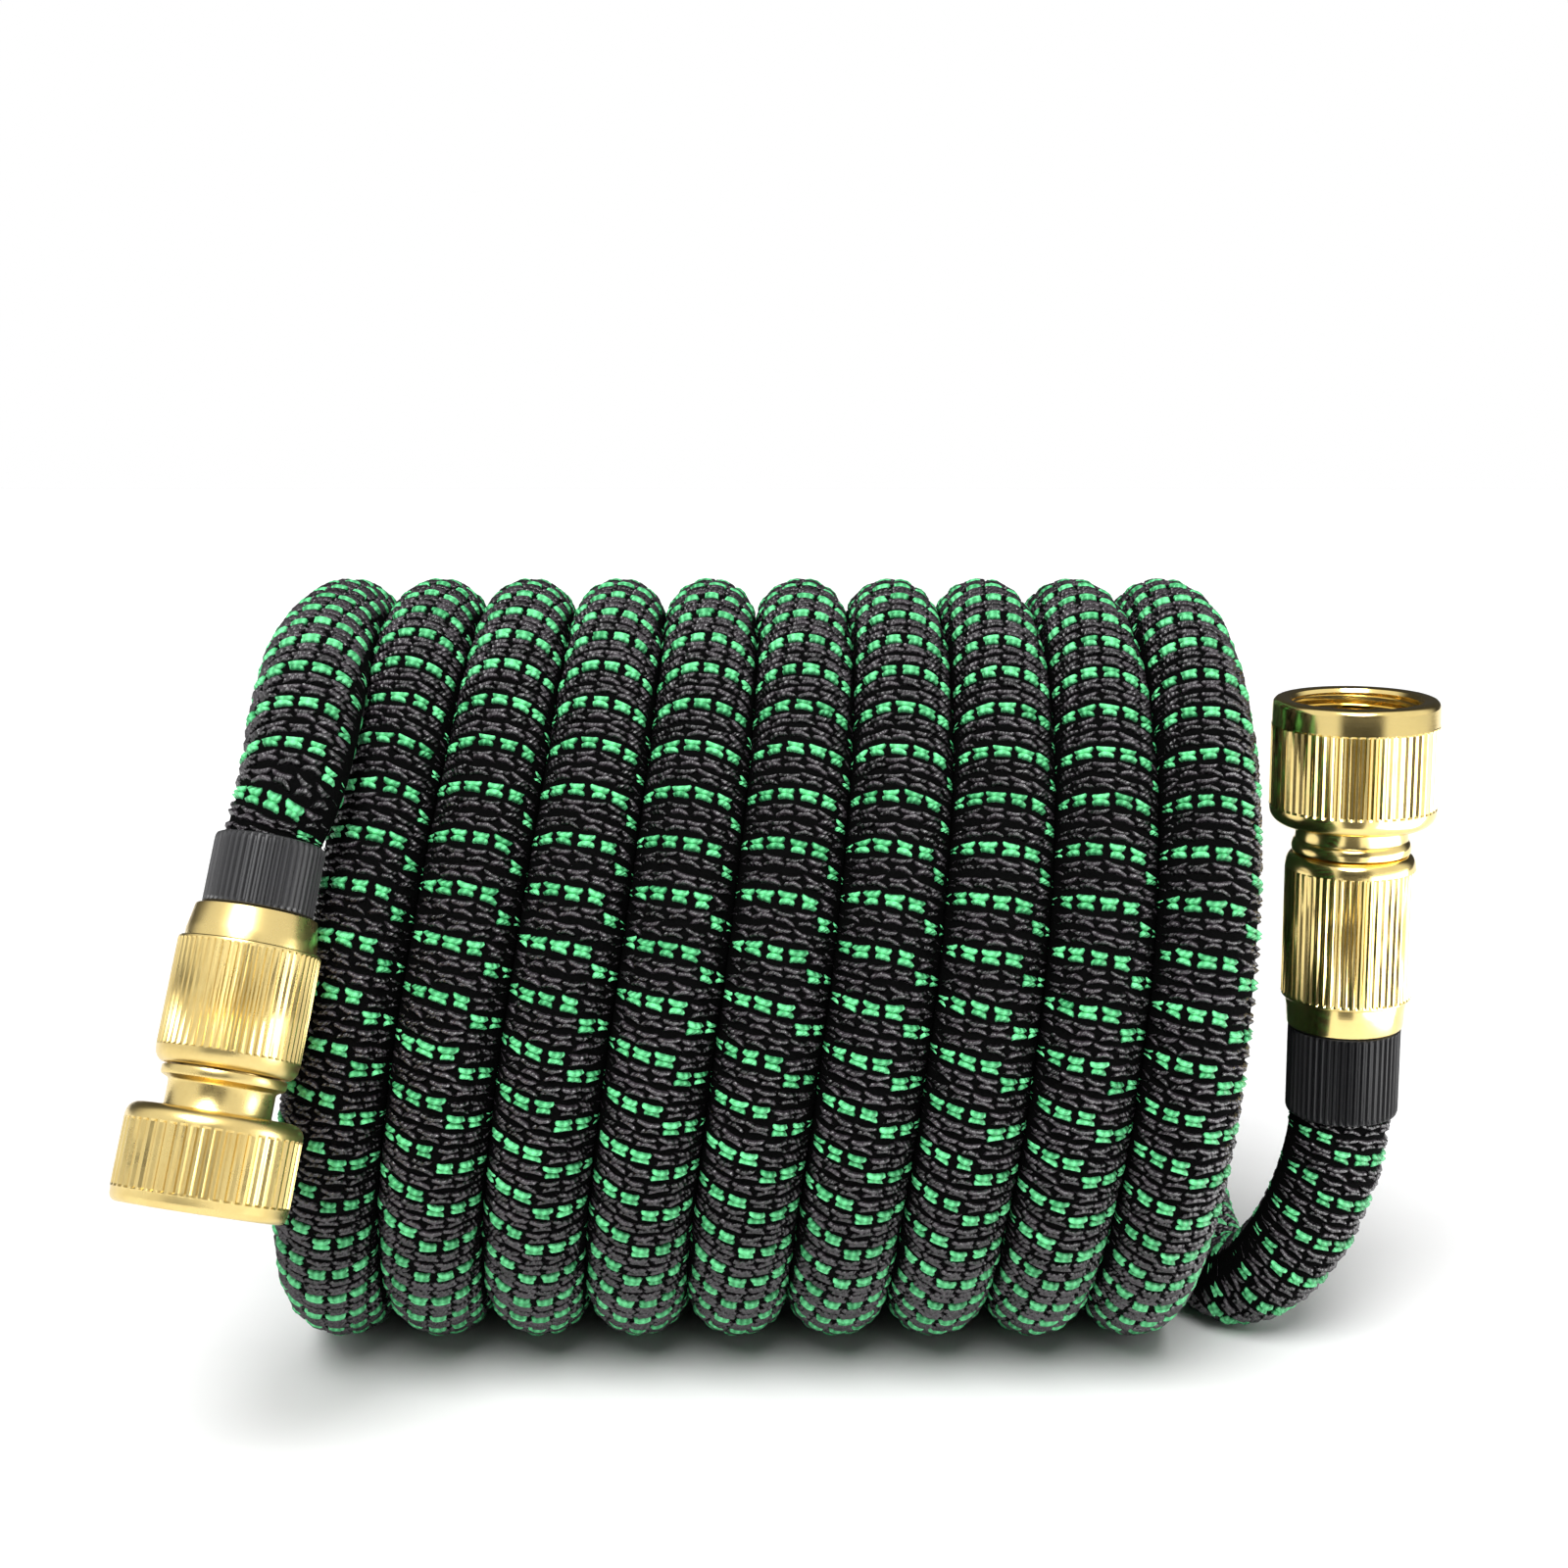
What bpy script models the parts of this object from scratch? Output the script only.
# Garden hose: an expandable hose in its woven cover, wound into a lying coil,
# with a brass quick connector and a threaded tap adaptor on each end.
# Metres, +Z up. X runs along the coil's axis, the front of the coil faces -Y.

from math import cos, pi, radians, sin

import bmesh
import bpy
from mathutils import Matrix, Vector

MM = 0.001

# Hose and coil
HOSE_RADIUS = 9.6 * MM
COIL_BORE = 125.4 * MM
TURN_GAP = 0.3 * MM
TURN_SPREAD = 0.035        # share of the pitch by which the turns' bottoms stand wider apart
FRONT_LEAN = 1.5 * MM      # sideways bow of each turn, once round
BACK_LEAN = 2.5 * MM       # sideways bow of each turn, twice round
COIL_FIRST = 90.0          # angle where the coil takes over from end A, 90 is the top of turn one
COIL_LAST = 3474.0         # angle where the coil runs out into end B, a whole number of steps on
COIL_STEP = 24.0           # from this start, a straight side of each turn lies on the floor
HOSE_SIDES = 10

# Free stretch at end A: sideways from the coil's first point, angle round the coil
# (0 is its front, 90 its top) and how far outside the coil's own middle line
LEAD_A = [(0.1, 66.0, 3.8), (0.8, 49.0, 11.0), (0.9, 34.0, 16.0)]
# Free stretch at end B, which lies on the floor in front of the coil before it rises: sideways from
# the coil's last point, back from the coil's axis, height above the floor
LEAD_B = [(-0.1, 27.0, 15.5), (-0.2, 13.0, 12.0), (0.1, -1.5, 11.6), (2.9, -13.6, 11.9),
          (8.9, -22.4, 18.0), (14.9, -28.4, 29.6), (18.9, -31.6, 43.2)]
ROUTE_STEPS = 3

# Fittings
TURNED_SIDES = 24
CLEARANCE = 0.3 * MM
SKIRT_WALL = 0.7 * MM      # the sleeve's wall where it slides over the core's ring
WATERWAY_RADIUS = 5.4 * MM
NOSE_RADIUS = 7.6 * MM
NOSE_LENGTH = 13.0 * MM
BARREL_RADIUS = 10.2 * MM
SLEEVE_LIP = 6.0 * MM
RING_COVER = 1.5 * MM      # how far the sleeve's skirt covers the core's ring at rest
EDGE_BREAK = 0.8 * MM
SLEEVE_BREAK = 1.6 * MM
NUT_SHOULDER = 2.4 * MM
NUT_FLOOR = 3.6 * MM
THREAD_RADIUS = 12.6 * MM  # plain bore that stands for the G 3/4 thread
WASHER_BORE = 6.4 * MM
WASHER_THICKNESS = 2.6 * MM

END_A = {
    "sideways": 12.5 * MM,     # the fitting hangs in front of turns one and two
    "outwards": 2.9 * MM,
    "angle": 26.5,
    "direction": (-0.150, -0.347, -0.926),
    "hose_radius": 8.9 * MM,
    "taper": 26.0 * MM,
    "collar_length": 13.1 * MM,
    "collar_wall": 0.8 * MM,
    "ring_length": 6.6 * MM,
    "ring_hose_radius": 11.1 * MM,
    "sleeve_length": 22.8 * MM,
    "sleeve_radius": 12.9 * MM,
    "flange_length": 2.0 * MM,
    "flange_radius": 11.2 * MM,
    "neck_length": 5.2 * MM,
    "neck_radius": 9.6 * MM,
    "nut_length": 17.8 * MM,
    "nut_radius": 15.8 * MM,
}
END_B = {
    "start": (20.7, -32.5, 56.2),
    "direction": (-0.012, -0.045, 0.999),
    "hose_radius": 10.3 * MM,
    "taper": 70.0 * MM,
    "collar_length": 18.4 * MM,
    "collar_wall": 0.7 * MM,
    "ring_length": 6.4 * MM,
    "ring_hose_radius": 11.7 * MM,
    "sleeve_length": 30.2 * MM,
    "sleeve_radius": 13.05 * MM,
    "flange_length": 2.0 * MM,
    "flange_radius": 11.9 * MM,
    "neck_length": 3.6 * MM,
    "neck_radius": 11.2 * MM,
    "nut_length": 25.6 * MM,
    "nut_radius": 16.6 * MM,
}

# Worked out from the sizes above
COIL_RADIUS = COIL_BORE / 2 + HOSE_RADIUS
COIL_HEIGHT = COIL_RADIUS + HOSE_RADIUS
PITCH = (2 * HOSE_RADIUS + TURN_GAP) / (1 - TURN_SPREAD)
COIL_MIDDLE = 1844.0       # angle of the turn that crosses x = 0
NOSE_BORE = NOSE_RADIUS + CLEARANCE
LIP_RADIUS = BARREL_RADIUS + CLEARANCE


def clear_scene():
    for obj in list(bpy.data.objects):
        bpy.data.objects.remove(obj, do_unlink=True)


def make_material(name, color, roughness, metallic):
    material = bpy.data.materials.new(name)
    material.use_nodes = True
    shader = material.node_tree.nodes["Principled BSDF"]
    shader.inputs["Base Color"].default_value = (*color, 1.0)
    shader.inputs["Roughness"].default_value = roughness
    shader.inputs["Metallic"].default_value = metallic
    return material


def add_object(name, mesh, material, parent):
    mesh.materials.append(material)
    mesh.shade_smooth()
    mesh.set_sharp_from_angle(angle=radians(35))
    obj = bpy.data.objects.new(name, mesh)
    bpy.context.scene.collection.objects.link(obj)
    obj.parent = parent
    return obj


def coil_point(angle):
    turn = radians(angle)
    along = PITCH * (angle - COIL_MIDDLE) / 360 * (1 - TURN_SPREAD * sin(turn))
    along += FRONT_LEAN * sin(turn) + BACK_LEAN * sin(2 * turn)
    return Vector((along, -COIL_RADIUS * cos(turn), COIL_HEIGHT + COIL_RADIUS * sin(turn)))


def route_curve(points, steps):
    """Smooth curve through the points, from the second to the last but one."""
    curve = []
    for before, start, end, after in zip(points, points[1:], points[2:], points[3:]):
        for step in range(steps):
            t = step / steps
            curve.append(0.5 * (2 * start + (end - before) * t
                                + (2 * before - 5 * start + 4 * end - after) * t ** 2
                                + (3 * start - before - 3 * end + after) * t ** 3))
    return curve


def beside_first_turn(sideways, angle, outwards):
    turn = radians(angle)
    reach = COIL_RADIUS + outwards
    first = coil_point(COIL_FIRST)
    return Vector((first.x + sideways, -reach * cos(turn), COIL_HEIGHT + reach * sin(turn)))


def beside_last_turn(sideways, back, height):
    return Vector((coil_point(COIL_LAST).x + sideways, back, height))


def end_frame(end):
    """Where the fitting's collar starts, and which way its open end points."""
    if end is END_A:
        sleeve = end["sleeve_radius"]
        start = beside_first_turn(end["sideways"] - sleeve, end["angle"], sleeve + end["outwards"])
    else:
        start = beside_last_turn(*(Vector(end["start"]) * MM))
    return start, Vector(end["direction"]).normalized()


def hose_route():
    """Centreline of the whole hose, from inside collar A to inside collar B."""
    start_a, along_a = end_frame(END_A)
    start_b, along_b = end_frame(END_B)
    tip_a = start_a + along_a * END_A["collar_length"]
    tip_b = start_b + along_b * END_B["collar_length"]
    lead_a = [beside_first_turn(side * MM, angle, out * MM) for side, angle, out in reversed(LEAD_A)]
    lead_a = [tip_a, start_a] + lead_a
    lead_b = [beside_last_turn(*(Vector(point) * MM)) for point in LEAD_B] + [start_b, tip_b]
    steps = round((COIL_LAST - COIL_FIRST) / COIL_STEP)
    coil = [coil_point(COIL_FIRST + COIL_STEP * i) for i in range(steps + 1)]
    route = [tip_a] + route_curve(lead_a + coil[:2], ROUTE_STEPS)
    route += coil[:-1]
    route += route_curve(coil[-2:] + lead_b, ROUTE_STEPS) + [start_b, tip_b]
    return route


def hose_radii(route):
    """The cover is a little thinner or thicker where it goes into its collar."""
    lengths = [0.0]
    for start, end in zip(route, route[1:]):
        lengths.append(lengths[-1] + (end - start).length)
    radii = []
    for length in lengths:
        radius = HOSE_RADIUS
        for end, distance in ((END_A, length), (END_B, lengths[-1] - length)):
            reach = max(0.0, 1 - max(0.0, distance - end["collar_length"]) / end["taper"])
            radius += (end["hose_radius"] - HOSE_RADIUS) * reach
        radii.append(radius)
    return radii


def make_hose(material, parent):
    route = hose_route()
    curve = bpy.data.curves.new("hose_route", "CURVE")
    curve.dimensions = "3D"
    spline = curve.splines.new("POLY")
    spline.points.add(len(route) - 1)
    for point, place, radius in zip(spline.points, route, hose_radii(route)):
        point.co = (*place, 1.0)
        point.radius = radius / HOSE_RADIUS
    curve.bevel_depth = HOSE_RADIUS
    curve.bevel_resolution = (HOSE_SIDES - 4) // 2
    curve.use_fill_caps = True
    curve.materials.append(material)
    hose = bpy.data.objects.new("hose", curve)
    bpy.context.scene.collection.objects.link(hose)
    hose.parent = parent
    return hose


def turned(name, profile, material, parent, height=0.0):
    """Spin a closed outline of (radius, height) points round local Z."""
    shape = bmesh.new()
    rows = []
    for side in range(TURNED_SIDES):
        angle = 2 * pi * side / TURNED_SIDES
        rows.append([shape.verts.new((r * cos(angle), r * sin(angle), z)) for r, z in profile])
    for side in range(TURNED_SIDES):
        here, there = rows[side], rows[(side + 1) % TURNED_SIDES]
        for i in range(len(profile)):
            j = (i + 1) % len(profile)
            shape.faces.new((here[i], there[i], there[j], here[j]))
    bmesh.ops.recalc_face_normals(shape, faces=shape.faces[:])
    mesh = bpy.data.meshes.new(name)
    shape.to_mesh(mesh)
    shape.free()
    obj = add_object(name, mesh, material, parent)
    obj.location.z = height
    return obj


def flats_clear(radius):
    """Bore whose flats stay a clearance away from a round of this radius."""
    return radius / cos(pi / TURNED_SIDES) + CLEARANCE


def ring_radius(end):
    return end["sleeve_radius"] - SKIRT_WALL - CLEARANCE


def make_collar(end, tag, material, parent):
    length, bore = end["collar_length"], flats_clear(end["hose_radius"])
    outer = bore + end["collar_wall"]
    profile = [(bore, 0), (outer - EDGE_BREAK / 2, 0), (outer, EDGE_BREAK), (outer, length), (bore, length)]
    return turned(f"collar_{tag}", profile, material, parent)


def make_core(end, tag, material, parent):
    back = end["collar_length"] + CLEARANCE
    ring_end = end["collar_length"] + end["ring_length"]
    step = ring_end + RING_COVER
    front = ring_end + end["sleeve_length"]
    stop = front - NOSE_LENGTH - 2 * CLEARANCE
    ring = ring_radius(end)
    profile = [(WATERWAY_RADIUS, back), (end["ring_hose_radius"], back), (ring, ring_end - RING_COVER),
               (ring, step), (BARREL_RADIUS, step), (BARREL_RADIUS, front), (NOSE_BORE, front),
               (NOSE_BORE, stop), (WATERWAY_RADIUS, stop)]
    return turned(f"connector_core_{tag}", profile, material, parent)


def make_sleeve(end, tag, material, parent):
    """The grip that slides back over the core's ring to let the adaptor go."""
    start = end["collar_length"] + end["ring_length"]
    length, outer = end["sleeve_length"], end["sleeve_radius"]
    skirt = outer - SKIRT_WALL
    profile = [(skirt, 0), (outer - EDGE_BREAK / 4, 0), (outer, EDGE_BREAK), (outer, length - SLEEVE_BREAK),
               (outer - SLEEVE_BREAK, length), (LIP_RADIUS, length), (LIP_RADIUS, length - SLEEVE_LIP),
               (skirt, length - SLEEVE_LIP)]
    return turned(f"connector_sleeve_{tag}", profile, material, parent, start)


def make_adaptor(end, tag, material, parent):
    """Nose, flange, neck and threaded nut, turned from one bar; local 0 is the flange's back face."""
    start = end["collar_length"] + end["ring_length"] + end["sleeve_length"] + CLEARANCE
    neck = end["flange_length"]
    nut = neck + end["neck_length"]
    mouth = nut + end["nut_length"]
    outer, flange, groove = end["nut_radius"], end["flange_radius"], end["neck_radius"]
    profile = [(WATERWAY_RADIUS, -NOSE_LENGTH), (NOSE_RADIUS - EDGE_BREAK, -NOSE_LENGTH),
               (NOSE_RADIUS, EDGE_BREAK - NOSE_LENGTH), (NOSE_RADIUS, 0), (flange, 0),
               (flange, neck - EDGE_BREAK / 2), (groove, neck + EDGE_BREAK / 2), (groove, nut),
               (outer - NUT_SHOULDER, nut),
               (outer, nut + NUT_SHOULDER), (outer, mouth - EDGE_BREAK), (outer - EDGE_BREAK, mouth),
               (THREAD_RADIUS + EDGE_BREAK, mouth), (THREAD_RADIUS, mouth - EDGE_BREAK),
               (THREAD_RADIUS, nut + NUT_FLOOR), (WATERWAY_RADIUS, nut + NUT_FLOOR)]
    return turned(f"tap_adaptor_{tag}", profile, material, parent, start)


def make_washer(end, tag, material, parent):
    nut = (end["collar_length"] + end["ring_length"] + end["sleeve_length"] + CLEARANCE
           + end["flange_length"] + end["neck_length"])
    outer = THREAD_RADIUS - CLEARANCE
    profile = [(WASHER_BORE, 0), (outer, 0), (outer, WASHER_THICKNESS), (WASHER_BORE, WASHER_THICKNESS)]
    return turned(f"sealing_washer_{tag}", profile, material, parent, nut + NUT_FLOOR + CLEARANCE)


def make_fitting(end, tag, root, brass, plastic, rubber):
    start, direction = end_frame(end)
    axis = bpy.data.objects.new(f"fitting_{tag}_axis", None)
    bpy.context.scene.collection.objects.link(axis)
    axis.parent = root
    axis.location = start
    axis.rotation_mode = "QUATERNION"
    axis.rotation_quaternion = direction.to_track_quat("Z", "Y")
    make_collar(end, tag, plastic, axis)
    make_core(end, tag, brass, axis)
    make_sleeve(end, tag, brass, axis)
    make_adaptor(end, tag, brass, axis)
    make_washer(end, tag, rubber, axis)


def stand_on_origin(root):
    """Move the model so that the middle of its box stands over the origin, on z = 0."""
    bpy.context.view_layer.update()
    graph = bpy.context.evaluated_depsgraph_get()
    corners = []
    for obj in bpy.context.scene.objects:
        if obj.type in {"MESH", "CURVE"}:
            placed = obj.evaluated_get(graph)
            mesh = placed.to_mesh()
            corners += [placed.matrix_world @ vertex.co for vertex in mesh.vertices]
            placed.to_mesh_clear()
    low = Vector([min(corner[i] for corner in corners) for i in range(3)])
    high = Vector([max(corner[i] for corner in corners) for i in range(3)])
    root.matrix_world = Matrix.Translation(-Vector(((low.x + high.x) / 2, (low.y + high.y) / 2, low.z)))


def main():
    clear_scene()
    cover = make_material("covered_hose", (0.03, 0.05, 0.04), 0.85, 0.0)
    brass = make_material("brass", (0.80, 0.58, 0.22), 0.30, 1.0)
    plastic = make_material("collar_plastic", (0.02, 0.02, 0.02), 0.45, 0.0)
    rubber = make_material("washer_rubber", (0.05, 0.05, 0.05), 0.80, 0.0)
    root = bpy.data.objects.new("coil_middle", None)
    bpy.context.scene.collection.objects.link(root)
    make_hose(cover, root)
    make_fitting(END_A, "a", root, brass, plastic, rubber)
    make_fitting(END_B, "b", root, brass, plastic, rubber)
    stand_on_origin(root)


main()
